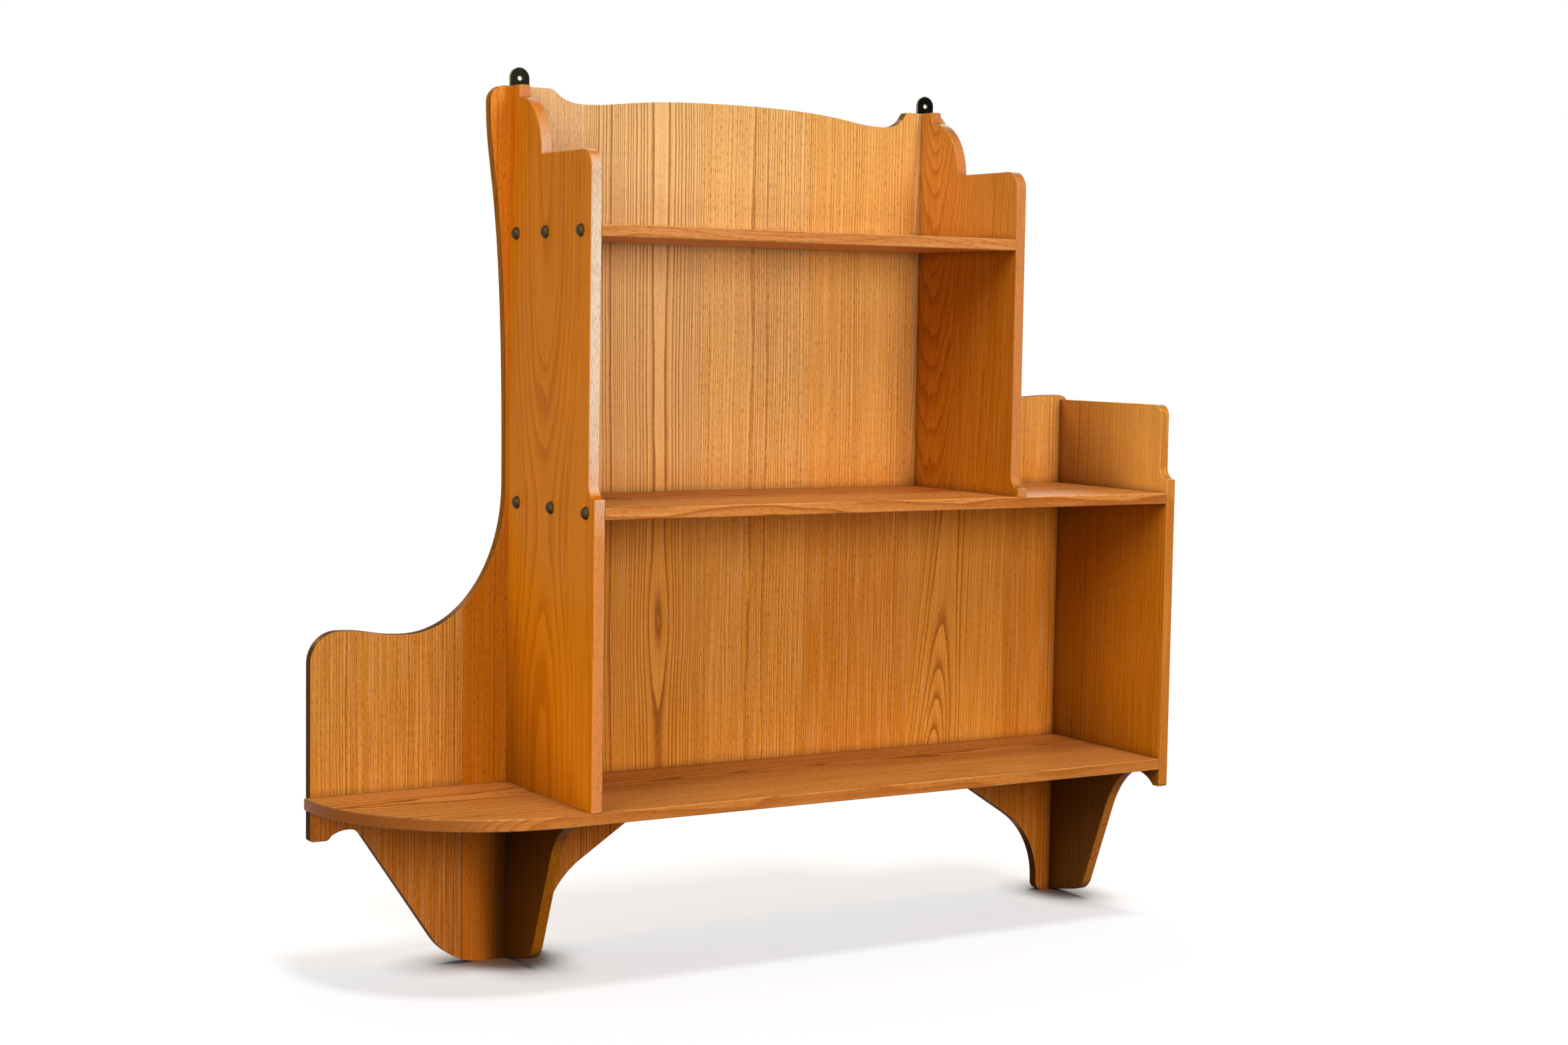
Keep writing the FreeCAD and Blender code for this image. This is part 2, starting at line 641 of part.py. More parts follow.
def build():
    """Every node by name, in the position that it has on the finished shelf."""
    tongues = {
        "top_shelf": [
            tongue(LEFT_INNER - HOUSING_DEPTH, UPPER_DEPTH, TOP_SHELF_TOP),
            tongue(RIGHT_INNER, UPPER_DEPTH, TOP_SHELF_TOP),
        ],
        "middle_shelf": [
            tongue(LEFT_INNER - HOUSING_DEPTH, LOWER_DEPTH, MIDDLE_SHELF_TOP),
            tongue(PANEL_INNER, LOWER_DEPTH, MIDDLE_SHELF_TOP),
        ],
        "bottom_shelf": [tongue(PANEL_INNER, LOWER_DEPTH, BOTTOM_SHELF_TOP)],
    }
    shelves = {
        "top_shelf": straight_shelf(LEFT_INNER, RIGHT_INNER, UPPER_DEPTH, TOP_SHELF_TOP),
        "middle_shelf": straight_shelf(LEFT_INNER, PANEL_INNER, LOWER_DEPTH, MIDDLE_SHELF_TOP),
        "bottom_shelf": wing_shelf(BOTTOM_SHELF_TOP),
    }
    sides = {
        "left_upright": upright(0, BOTTOM_SHELF_TOP),
        "right_upright": upright(RIGHT_INNER, MIDDLE_SHELF_TOP),
        "right_side_panel": right_panel(),
        "left_bracket": left_bracket(),
    }
    pegs = {
        "left_upright_top_nails": nail_row(0, 1, TOP_NAILS, TOP_SHELF_TOP),
        "left_upright_middle_nails": nail_row(0, 1, LOW_NAILS, MIDDLE_SHELF_TOP),
        "right_upright_top_nails": nail_row(RIGHT_OUTER, -1, TOP_NAILS, TOP_SHELF_TOP),
        "right_panel_middle_nails": nail_row(PANEL_OUTER, -1, LOW_NAILS, MIDDLE_SHELF_TOP),
        "right_panel_bottom_nails": nail_row(PANEL_OUTER, -1, LOW_NAILS, BOTTOM_SHELF_TOP),
        "left_upright_dowels": upright_dowels(0, BOTTOM_SHELF_TOP),
        "right_upright_dowels": upright_dowels(RIGHT_INNER, MIDDLE_SHELF_TOP),
        "left_bracket_dowels": bracket_dowels(),
    }
    back_screws = screws(SCREW_LENGTH, back_screw_places())
    hooks = {"left": LEFT_HOOK, "right": RIGHT_HOOK}
    plate_screws = {}
    for side, across in hooks.items():
        plate_screws[side] = screws(PLATE_SCREW_LENGTH, plate_screw_places(across))
    fixings = [*back_screws, *plate_screws["left"], *plate_screws["right"]]
    for row in pegs.values():
        fixings += row
    housings = [end for ends in tongues.values() for end in ends]
    recesses = [plate_blank(across) for across in hooks.values()]

    nodes = {}
    for name, board in sides.items():
        nodes[name] = without(board, housings + fixings)
    for name, board in shelves.items():
        nodes[name] = without(board.fuse(tongues[name]).removeSplitter(), fixings)
    for number, board in enumerate(back_boards(), start=1):
        nodes[f"back_board_{number}"] = without(board, recesses + fixings)
    for side, across in hooks.items():
        nodes[f"hanging_plate_{side}"] = hanging_plate(across, plate_screws[side])
    for name, row in pegs.items():
        nodes[name] = Part.makeCompound(row)
    nodes["hanging_plate_screws"] = Part.makeCompound(slotted(plate_screws["left"] + plate_screws["right"]))
    nodes["back_screws"] = Part.makeCompound(slotted(back_screws))
    return nodes


os.makedirs("parts", exist_ok=True)
for node_name, node_shape in build().items():
    node_shape.translated(REFERENCE * -1).exportStep(f"parts/{node_name}.step")
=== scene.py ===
import math
from collections import namedtuple

import bpy
from mathutils import Matrix, Vector


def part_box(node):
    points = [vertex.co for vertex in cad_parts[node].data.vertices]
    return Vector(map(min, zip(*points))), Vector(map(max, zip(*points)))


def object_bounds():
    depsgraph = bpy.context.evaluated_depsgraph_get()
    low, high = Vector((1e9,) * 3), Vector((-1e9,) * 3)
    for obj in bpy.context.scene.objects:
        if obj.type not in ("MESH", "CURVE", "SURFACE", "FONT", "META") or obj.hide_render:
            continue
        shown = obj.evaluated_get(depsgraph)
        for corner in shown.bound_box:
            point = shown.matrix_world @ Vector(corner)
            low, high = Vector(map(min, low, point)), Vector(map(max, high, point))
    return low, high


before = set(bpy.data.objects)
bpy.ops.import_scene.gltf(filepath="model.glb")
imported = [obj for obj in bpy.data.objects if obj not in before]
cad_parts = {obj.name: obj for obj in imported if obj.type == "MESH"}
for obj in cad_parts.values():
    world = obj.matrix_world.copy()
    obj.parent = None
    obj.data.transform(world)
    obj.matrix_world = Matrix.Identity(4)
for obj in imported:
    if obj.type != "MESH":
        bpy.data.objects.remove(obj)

CAD_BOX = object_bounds()

# The camera that took the picture, in the part's frame (metres, degrees)
CAMERA_PLACE = Vector((-1.8321, -3.2066, -0.3338))
CAMERA_YAW = 31.076
CAMERA_PITCH = -4.486
CAMERA_ROLL = 0.904
CAMERA_LENS = 57.83
CAMERA_SENSOR = 36.0

# Studio: a floor under the feet and an even surround, both white where they are seen and darker where they
# light the shelf; lamps in front; and wide soft lights from far off, of which only one lights the floor too
FLOOR_REACH = 40.0
FLOOR_GREY = 0.30
FLOOR_PALE = 0.97
FLOOR_GLOW = 0.675
CONTACT_REACH = 0.08
CONTACT_SAMPLES = 12
CONTACT_SHADOW = ((0.60, 0.0), (0.98, FLOOR_GLOW))
SURROUND_LEVEL = 0.17
Lamp = namedtuple("Lamp", "place size watts")
LAMPS = {
    "front_lamp": Lamp((0.60, -3.20, 0.05), 1.0, 47.0),
    "fill_lamp": Lamp((-1.70, -3.10, -0.60), 1.2, 28.0),
}
LAMP_TARGET = Vector((0.0, 0.0, -0.6))
Light = namedtuple("Light", "towards spread strength floor")
LIGHTS = {
    "left_light": Light((-0.78, -0.38, 0.50), 34, 1.35, False),
    "right_light": Light((0.50, -0.55, 0.66), 60, 0.20, False),
    "top_light": Light((0.0, -0.30, 1.0), 10, 0.63, True),
    "back_light": Light((0.55, 0.72, 0.42), 40, 1.90, False),
}

# Stains as screen colours: lower down, and paler higher up, partly a sun fade and partly painted light
STAINS = {
    "back": ((216, 138, 41), (237, 183, 109)),
    "pale_back": ((199, 117, 24), (229, 181, 127)),
    "rich_back": ((207, 125, 29), (233, 171, 86)),
    "figured": ((216, 138, 41), (238, 190, 124)),
    "ear": ((196, 112, 8), (240, 140, 28)),
    "side": ((234, 135, 10), (236, 134, 12)),
    "right": ((196, 114, 14), (230, 148, 55)),
    "panel": ((204, 120, 10), (248, 178, 79)),
    "shelf": ((222, 144, 62), (226, 148, 76)),
}
# The stain of a back board's strip outside the left upright, where it differs: deeper orange, painted shade
# of the upright
OUTER_SHADED_STAIN = {"pale_back": "ear"}
# Side boards painted paler only above this shelf, on the face towards the bays: painted light
PAINTED_LIGHT_ABOVE = {"right": "top_shelf", "panel": "middle_shelf"}

# Other wood colours: on a screen, or as tints that multiply
STREAK = (248, 208, 146)
# Painted shade: a deeper orange on the back below the bottom shelf
FOOT_SHADE_TINT = (222, 116, 8)
BARE = (210, 160, 100)
# Dark stain on end grain and sawn edges; on the back's sawn edges it is partly painted shade
EDGE_STAIN_AND_SHADE = (58, 27, 7)
# Paler front faces and edges: partly wear, partly painted light
HANDLED_AND_LIT = (212, 134, 80)
WORN_AND_HIGHLIT = (230, 206, 178)
NOSE = (178, 92, 20)
FLECK = (150, 88, 44)
# Pale arrises: partly wear, partly painted edge highlight
RUBBED_AND_HIGHLIT = (236, 170, 100)
# Dirt in the joints, and the colour of painted shade in the inner corners
GRIME_AND_SHADE = (44, 20, 4)
# The colour of painted shade in the bays, under the bottom shelf and beside the left bracket
PAINTED_SHADE_COLOUR = (54, 24, 1)
EARLY_TINT = (0.46, 0.33, 0.20, 1.0)
PORE_TINT = (0.40, 0.27, 0.17, 1.0)
SHINE_TINT = (1.0, 0.80, 0.56, 1.0)
SHINE = 0.2
SIDE_SHINE = 0.05

# How a board was sawn and finished. grain names the axes along the grain, across the board and through it.
# heart is where the tree's middle lies (across, through), which decides between straight lines and arched
# figure; lean is how fast it leaves the grain (across, through), swell (where, how long, how deep) brings it
# nearer over a stretch, sway is how far the lines wander, and ring is the width of a year. contrast and
# pores are how strongly rings and pores show, tone is how light the board is, and the share after tone is
# how strongly the front edge is coated: wear, and on the side boards partly painted light.
Plank = namedtuple("Plank", "grain heart lean swell sway ring contrast pores stain tone worn seed")
BACK = "ZXY"
SIDE = "ZYX"
SHELF = "XYZ"
UPRIGHT = (0.0, 0.0)
STRAIGHT = (0.0, 1.0, 0.0)
PLANKS = {
    "back_board_1": Plank(BACK, (-1.60, 0.30), UPRIGHT, STRAIGHT,
                          0.004, 0.0040, 0.78, 0.60, "back", 0.87, 0.0, 1),
    "back_board_2": Plank(BACK, (-1.30, 0.20), UPRIGHT, STRAIGHT,
                          0.004, 0.0038, 0.85, 0.55, "pale_back", 1.00, 0.0, 2),
    "back_board_3": Plank(BACK, (-0.124, 0.008), (-0.008, 0.004), (-0.766, 0.085, 0.0048),
                          0.006, 0.0042, 1.00, 0.35, "figured", 1.00, 0.0, 3),
    "back_board_4": Plank(BACK, (-0.90, 0.24), UPRIGHT, STRAIGHT,
                          0.004, 0.0044, 0.68, 0.60, "back", 1.00, 0.0, 4),
    "back_board_5": Plank(BACK, (-0.60, 0.14), UPRIGHT, STRAIGHT,
                          0.004, 0.0046, 0.68, 0.55, "rich_back", 1.02, 0.0, 5),
    "back_board_6": Plank(BACK, (0.430, 0.036), (0.064, 0.0), (-1.15, 0.32, 0.022),
                          0.006, 0.0040, 0.85, 0.40, "back", 0.99, 0.0, 6),
    "back_board_7": Plank(BACK, (1.50, 0.20), UPRIGHT, STRAIGHT,
                          0.004, 0.0042, 0.72, 0.50, "rich_back", 1.01, 0.0, 7),
    "left_upright": Plank(SIDE, (-0.130, -0.310), (0.0, 0.02), (-0.60, 0.20, -0.03),
                          0.012, 0.0100, 0.36, 0.14, "side", 1.00, 0.75, 8),
    "right_upright": Plank(SIDE, (-0.058, 0.364), (0.0, 0.13), STRAIGHT,
                           0.012, 0.0052, 0.42, 0.25, "right", 0.90, 0.72, 9),
    "right_side_panel": Plank(SIDE, (0.300, 0.700), UPRIGHT, STRAIGHT,
                              0.008, 0.0056, 0.55, 0.25, "panel", 0.95, 0.20, 10),
    # The bracket's low tone is painted shade under the bottom shelf
    "left_bracket": Plank(SIDE, (0.200, -0.250), UPRIGHT, STRAIGHT,
                          0.008, 0.0060, 0.30, 0.25, "side", 0.50, 0.0, 11),
    "top_shelf": Plank(SHELF, (-0.160, -0.170), (0.0, 0.02), STRAIGHT,
                       0.012, 0.0050, 0.85, 0.55, "shelf", 0.98, 0.40, 12),
    "middle_shelf": Plank(SHELF, (-0.120, -0.530), (0.0, 0.02), STRAIGHT,
                          0.012, 0.0050, 1.00, 0.55, "shelf", 1.05, 0.42, 13),
    "bottom_shelf": Plank(SHELF, (-0.100, -0.940), (0.0, 0.03), STRAIGHT,
                          0.014, 0.0055, 1.00, 0.55, "shelf", 0.91, 0.50, 14),
}

# Grain: how many noise cells to the metre, how far apart two boards' seeds set a pattern, and ramps as
# (in, out) stops
SWAY_CELLS = 2.6
SWAY_SHIFT = 3.7
YEAR_CELLS = 55.0
YEAR_SHIFT = 1.3
YEAR_SPREAD = 5.0
VIGOUR_CELLS = 24.0
VIGOUR_SHIFT = 7.7
WAVER_CELLS = 60.0
WAVER_CELLS_ALONG = 5.0
WAVER = 1.0
FIGURED_WAVER = 0.5
RING_LINE = ((0.0, 1.0), (0.10, 0.9), (0.32, 0.3), (0.6, 0.08), (0.94, 0.0), (1.0, 1.0))
RING_VIGOUR = ((0.3, 0.3), (0.6, 1.0))
BOLD_AT_HEART = ((0.045, 1.0), (0.085, 0.0))
PORE_CELLS = 1000.0
PORE_CELLS_ALONG = 150.0
PORE_SHIFT = 9.1
PORE_SIZE = 0.75
PORE_DASH = ((0.5, 0.0), (0.66, 1.0))
PORES_IN_RINGS = 0.6
PORES_ALL_OVER = 0.7
FIBRE_CELLS = 330.0
FIBRE_CELLS_ALONG = 7.0
FIBRE_SHIFT = 5.3
FIBRE_RANGE = 0.30
PALE_FIBRE = ((0.45, 0.0), (0.75, 0.5))
CLOUD_CELLS = 9.0
CLOUD_DRAWN = 0.4
CLOUD_RANGE = 0.24
FADED_AND_LIT_CONTRAST = 0.35

# Where fading, painted light and shade, edge stain, wear and dirt lie, as ramps. A ramp reads 0 to 1, so a
# place is shifted first: the low side of the upright or shelf that it is measured from then falls at
# LOW_SIDE_AT, or its top at TOP_AT. Distances from a joint or from the bracket are stretched by their scale.
HEIGHT_SCALE = 0.8
UPPER_PALING = ((0.50, 0.0), (0.58, 0.55), (0.90, 1.0))
LOW_SIDE_AT = 0.9
OUTSIDE_PALING = 0.2
INSIDE_UPRIGHT = ((0.902, OUTSIDE_PALING), (0.914, 1.0))
INSIDE_SHARE = ((OUTSIDE_PALING, 0.0), (1.0, 1.0))
ABOVE_SHELF = ((0.90, 0.0), (0.916, 1.0))
INNER_FACE = ((0.3, 0.0), (0.9, 1.0))
TOP_AT = 0.5
# Painted light on the back just above the bottom and middle shelves
PAINTED_BAY_LIGHT = {
    "bottom_shelf": ((0.485, 0.0), (0.495, 0.13), (0.62, 0.0)),
    "middle_shelf": ((0.485, 0.0), (0.495, 0.22), (0.62, 0.11), (0.886, 0.10), (0.902, 0.0)),
}
REAR_FACE = ((0.5, 0.0), (0.8, 1.0))
BELOW_SHELVES = ((0.975, 0.0), (0.99, 1.0))
FOOT_SHADE_SHARE = 0.8
# The back's dark sawn edges: partly stain, partly painted shade
SAWN_STAIN_AND_SHADE = ((0.5, 0.0), (0.9, 0.88))
OUTER_SAWN_SHARE = ((OUTSIDE_PALING, 0.5), (1.0, 1.0))
SAWN_ROUGH = ((0.5, 0.0), (0.9, 1.0))
SIDE_END_STAIN = ((0.55, 0.0), (0.9, 0.35))
SHELF_END_STAIN = ((0.22, 0.0), (0.34, 0.25), (0.48, 0.65), (0.95, 0.92))
FRONT_FACE = (0.6, 0.95)
NOSE_FACE = (0.3, 0.7)
# Paler front edge of the left upright by height: partly wear, partly painted highlight
PALE_FRONT_EDGE = {
    "left_upright": ((0.50, 0.0), (0.58, 0.62), (0.68, 0.90), (0.84, 1.0), (0.92, 0.45), (0.965, 0.05)),
}
PALE_FRONT_SHARE = 1.40
FLECK_SHARE = 0.5
JOINT_SCALE = 500.0
JOINT_DIRT = ((0.0, 0.9), (0.4, 0.7), (0.8, 0.0))
FOOT_DIRT = ((0.98, 0.12), (1.0, 1.0))
PATCH_CELLS = 7.0
DIRT_PATCHES = ((0.3, 0.5), (0.55, 1.0))
ARRIS = 0.0016
ARRIS_SAMPLES = 4
# Pale arrises in patches: partly wear, partly painted edge highlight
RUB_CELLS = 45.0
RUB_RANGE = 4.0
ARRIS_WEAR_AND_HIGHLIGHT = ((0.05, 0.0), (0.45, 0.45))
# Painted shade in the inner corners, darker where a point is less open
CORNER_SHADE_REACH = 0.02
CORNER_SHADE_SAMPLES = 6
CORNER_SHADE = ((0.30, 0.60), (0.80, 0.0))
UNSHADED_OUTER_FACE = {"left_upright": ((0.3, 1.0), (0.9, 0.0))}
# Painted shade, darker where a point is less open: in the bays, under the bottom shelf and beside the left
# bracket
OPENNESS_REACH = 0.30
OPENNESS_SAMPLES = 8
UNDER_SHADE = {BACK: ((0.20, 0.50), (0.46, 0.0)), SIDE: ((0.30, 0.94), (0.80, 0.2), (0.96, 0.0))}
BAY_SHADE = ((0.15, 0.94), (0.68, 0.0))
UPPER_BAY_SHADE = ((0.25, 0.62), (0.38, 0.0))
UNSHADED_BAY = "right"
FRONT_EDGE_SHADE = ((0.35, 1.0), (0.9, 0.25))
BRACKET_SCALE = 10.0
BRACKET_SHADE = ((0.08, 0.97), (0.18, 0.90), (0.33, 0.58), (0.70, 0.0))

# Polish: relief from fibres and pores, and roughness
FIBRE_HEIGHT = 0.3
PORE_DEPTH = 0.8
RELIEF = 0.35
RELIEF_DEPTH = 0.0004
ROUGHNESS = 0.36
PORE_ROUGH = 0.25
CLOUD_ROUGH = 0.16

# Metals (screen colours: bright, partly rubbing and partly painted highlight, and dark, partly tarnish and
# partly painted dark reflection), and the dowels' beech
Alloy = namedtuple("Alloy", "polished tarnished polish roughness rim")
BRONZE = Alloy((112, 92, 58), (46, 34, 20), 0.45, 0.34, 0.0012)
BRASS = Alloy((220, 202, 150), (16, 15, 11), 0.0, 0.22, 0.0016)
STEEL = Alloy((150, 146, 140), (84, 76, 68), 0.6, 0.36, 0.0012)
PATINA_CELLS = 260.0
PATINA_ROUGH = 0.22
RIM_SAMPLES = 8
RIM_WEAR_AND_HIGHLIGHT = ((0.01, 0.0), (0.12, 0.7))
BEECH = (214, 172, 126)
BEECH_FLECK = (150, 98, 60)
BEECH_CELLS = 900.0
BEECH_CELLS_ALONG = 120.0
BEECH_FLECKS = ((0.52, 0.0), (0.66, 0.7))
BEECH_ROUGHNESS = 0.6
BEECH_RELIEF = 0.3
METAL_RELIEF = 0.2
FINE_RELIEF_DEPTH = 0.0003


def linear(colour):
    """A screen colour (0 to 255) as the linear colour that the shaders take."""
    shares = [value / 255 for value in colour]
    return (*[s / 12.92 if s <= 0.04045 else ((s + 0.055) / 1.055) ** 2.4 for s in shares], 1.0)


class Graph:
    """A material's nodes, written as nested calls."""

    def __init__(self, name):
        self.material = bpy.data.materials.new(name)
        self.material.use_nodes = True
        self.tree = self.material.node_tree
        self.tree.nodes.clear()

    def feed(self, socket, value):
        if isinstance(value, bpy.types.NodeSocket):
            self.tree.links.new(value, socket)
        else:
            socket.default_value = value

    def node(self, kind, sockets=None, **settings):
        node = self.tree.nodes.new(kind)
        for key, value in settings.items():
            setattr(node, key, value)
        for key, value in (sockets or {}).items():
            self.feed(node.inputs[key], value)
        return node

    def maths(self, operation, *values, clamp=False):
        sockets = dict(enumerate(values))
        return self.node("ShaderNodeMath", sockets, operation=operation, use_clamp=clamp).outputs[0]

    def scaled(self, value, factor, shift=0.0):
        return self.maths("MULTIPLY_ADD", value, factor, shift)

    def product(self, first, second):
        return self.maths("MULTIPLY", first, second)

    def rest(self, share):
        """What a share leaves of 1."""
        return self.scaled(share, -1.0, 1.0)

    def place(self, x, y, z):
        return self.node("ShaderNodeCombineXYZ", {"X": x, "Y": y, "Z": z}).outputs[0]

    def split(self, vector):
        return self.node("ShaderNodeSeparateXYZ", {0: vector}).outputs

    def noise(self, place, scale, detail=2.0, roughness=0.5):
        sockets = {"Vector": place, "Scale": scale, "Detail": detail, "Roughness": roughness}
        return self.node("ShaderNodeTexNoise", sockets).outputs[0]

    def ramp(self, value, *stops):
        """A value turned into another along straight runs between (in, out) stops."""
        node = self.node("ShaderNodeValToRGB", {"Fac": value})
        elements = node.color_ramp.elements
        elements.remove(elements[1])
        for index, (position, level) in enumerate(stops):
            stop = elements[0] if index == 0 else elements.new(position)
            stop.position = position
            stop.color = (level, level, level, 1.0)
        return node.outputs[0]

    def mix(self, share, first, second, blend="MIX"):
        sockets = {0: share, 6: first, 7: second}
        node = self.node("ShaderNodeMix", sockets, data_type="RGBA", blend_type=blend)
        return node.outputs[2]

    def coat(self, colour, share, screen_colour):
        """A share of a screen colour laid over a colour."""
        return self.mix(share, colour, linear(screen_colour))

    def brightness(self, colour, level):
        return self.node("ShaderNodeHueSaturation", {"Color": colour, "Value": level}).outputs[0]

    def spot(self):
        return self.node("ShaderNodeTexCoord").outputs["Object"]

    def facing(self):
        return self.node("ShaderNodeNewGeometry").outputs["Normal"]

    def eased(self, radius, samples):
        """The normal with every edge rounded."""
        return self.node("ShaderNodeBevel", {"Radius": radius}, samples=samples).outputs[0]

    def arris(self, eased, facing):
        """0 on flats, more where the rounded normal turns away at an edge."""
        turn = self.node("ShaderNodeVectorMath", {0: eased, 1: facing}, operation="DOT_PRODUCT")
        return self.maths("SUBTRACT", 1.0, turn.outputs["Value"])

    def open_sky(self, reach, samples):
        """1 in the open, less where other surfaces are near."""
        return self.node("ShaderNodeAmbientOcclusion", {"Distance": reach}, samples=samples).outputs["AO"]

    def relief(self, strength, depth, height, normal=None):
        sockets = {"Strength": strength, "Distance": depth, "Height": height}
        if normal is not None:
            sockets["Normal"] = normal
        return self.node("ShaderNodeBump", sockets).outputs[0]

    def finish(self, **sockets):
        sockets = {key.replace("_", " "): value for key, value in sockets.items()}
        surface = self.node("ShaderNodeBsdfPrincipled", sockets)
        output = self.node("ShaderNodeOutputMaterial")
        self.tree.links.new(surface.outputs[0], output.inputs["Surface"])
        return self.material


class Board:
    """Polished ash for one board: the stain, and what lies over it in turn."""

    def __init__(self, name, plank):
        self.name = name
        self.plank = plank
        self.graph = graph = Graph(f"ash_{name}")
        self.spot = graph.spot()
        self.parts = graph.split(self.spot)
        self.along, self.across, self.through = [self.parts[axis] for axis in plank.grain]
        self.facing = graph.facing()
        self.turned = graph.split(self.facing)
        self.eased = graph.eased(ARRIS, ARRIS_SAMPLES)
        self.early = self.ring_lines()
        self.pores = self.pore_dashes()
        self.fibre = self.fibre_streaks()
        self.cloud = self.clouds()
        shown = graph.scaled(self.early, PORES_IN_RINGS * plank.pores, PORES_ALL_OVER * plank.pores)
        self.dashes = graph.product(self.pores, shown)
        self.rear = graph.ramp(self.turned["Y"], *REAR_FACE)
        self.under = graph.ramp(graph.scaled(self.parts["Z"], -1.0), *BELOW_SHELVES)
        self.height = graph.scaled(self.parts["Z"], HEIGHT_SCALE, 1.0)
        self.upper_paling = graph.ramp(self.height, *UPPER_PALING)
        # 1 on faces that look to the front, and 1 on those that look to the left
        self.ahead = graph.scaled(self.turned["Y"], -1.0)
        self.leftward = graph.scaled(self.turned["X"], -0.5, 0.5)
        self.end_grain = graph.maths("ABSOLUTE", self.turned[plank.grain[0]])
        if plank.grain == BACK:
            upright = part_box("left_upright")[0][0]
            self.inside = graph.ramp(graph.scaled(self.across, 1.0, LOW_SIDE_AT - upright), *INSIDE_UPRIGHT)
            self.sawn = graph.maths("MAXIMUM", self.end_grain, graph.maths("ABSOLUTE", self.turned["X"]))
        self.faded_and_lit = self.fade_and_light()

    def drawn_out(self, cells, cells_along, shift):
        """A place for noise that is drawn out along the grain."""
        graph = self.graph
        return graph.place(graph.scaled(self.across, cells), graph.scaled(self.through, cells),
                           graph.scaled(self.along, cells_along, shift))

    def ring_lines(self):
        """Dark early wood of the growth rings, 0 to 1, where the board's face cuts them."""
        graph, plank = self.graph, self.plank
        drawn = graph.scaled(self.along, 1.0, SWAY_SHIFT * plank.seed)
        sway = graph.noise(graph.place(self.across, self.through, drawn), SWAY_CELLS)
        side = graph.maths("ADD", self.across, graph.scaled(self.along, -plank.lean[0], -plank.heart[0]))
        side = graph.maths("ADD", side, graph.scaled(sway, plank.sway * 2, -plank.sway))
        deep = graph.maths("ADD", self.through, graph.scaled(self.along, plank.lean[1], -plank.heart[1]))
        where, length, depth = plank.swell
        if depth:
            offset = graph.scaled(self.along, 1 / length, -where / length)
            bell = graph.maths("POWER", math.e, graph.scaled(graph.product(offset, offset), -1.0))
            deep = graph.maths("ADD", deep, graph.scaled(bell, depth))
        radius = graph.maths("SQRT", graph.maths("MULTIPLY_ADD", side, side, graph.product(deep, deep)))
        years = graph.noise(graph.place(radius, 0.0, YEAR_SHIFT * plank.seed), YEAR_CELLS, detail=1.0)
        waver = graph.noise(graph.place(graph.scaled(self.across, WAVER_CELLS),
                                        graph.scaled(self.through, WAVER_CELLS),
                                        graph.scaled(drawn, WAVER_CELLS_ALONG)), 1.0)
        rings = graph.scaled(radius, 1 / plank.ring)
        rings = graph.maths("ADD", rings, graph.scaled(years, YEAR_SPREAD))
        rings = graph.maths("ADD", rings, graph.scaled(waver, FIGURED_WAVER if depth else WAVER))
        lines = graph.ramp(graph.maths("FRACT", rings), *RING_LINE)
        growth = graph.noise(graph.place(radius, 0.0, VIGOUR_SHIFT * plank.seed), VIGOUR_CELLS, detail=1.0)
        bold = graph.ramp(graph.maths("ABSOLUTE", side), *BOLD_AT_HEART)
        return graph.product(lines, graph.maths("MAXIMUM", graph.ramp(growth, *RING_VIGOUR), bold))

    def pore_dashes(self):
        """Open pores, short dark dashes along the grain."""
        place = self.drawn_out(PORE_CELLS, PORE_CELLS_ALONG, PORE_SHIFT * self.plank.seed)
        return self.graph.ramp(self.graph.noise(place, PORE_SIZE, detail=1.5), *PORE_DASH)

    def fibre_streaks(self):
        """Fine streaks between the rings."""
        place = self.drawn_out(FIBRE_CELLS, FIBRE_CELLS_ALONG, FIBRE_SHIFT * self.plank.seed)
        return self.graph.noise(place, 1.0, detail=3.0, roughness=0.6)

    def clouds(self):
        """Broad light and dark over the board."""
        drawn = self.graph.scaled(self.along, CLOUD_DRAWN, self.plank.seed)
        return self.graph.noise(self.graph.place(self.across, self.through, drawn), CLOUD_CELLS, detail=3.0)

    def fade_and_light(self):
        """How much paler the stain is, 0 to 1: higher up partly a sun fade and partly painted light, less
        outside the left upright as painted shade, and on the right upright and panel painted light only.
        """
        graph, plank = self.graph, self.plank
        if plank.grain == BACK:
            return graph.product(self.upper_paling, self.inside)
        if plank.stain not in PAINTED_LIGHT_ABOVE:
            return self.upper_paling
        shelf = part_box(PAINTED_LIGHT_ABOVE[plank.stain])[0][2]
        above = graph.ramp(graph.scaled(self.parts["Z"], 1.0, LOW_SIDE_AT - shelf), *ABOVE_SHELF)
        return graph.product(above, graph.ramp(self.leftward, *INNER_FACE))

    def stained(self):
        """The stain, with painted shade as a deeper orange on the strip outside the left upright and below
        the bottom shelf, and bare wood at the rear of the back.
        """
        graph, plank = self.graph, self.plank
        unfaded, faded = STAINS[plank.stain]
        colour = graph.mix(self.faded_and_lit, linear(unfaded), linear(faded))
        if plank.stain in OUTER_SHADED_STAIN:
            unfaded, faded = STAINS[OUTER_SHADED_STAIN[plank.stain]]
            outer = graph.mix(self.upper_paling, linear(unfaded), linear(faded))
            colour = graph.mix(graph.ramp(self.inside, *INSIDE_SHARE), outer, colour)
        if plank.grain == BACK:
            colour = graph.coat(colour, graph.scaled(self.under, FOOT_SHADE_SHARE), FOOT_SHADE_TINT)
            colour = graph.coat(colour, self.rear, BARE)
        return colour

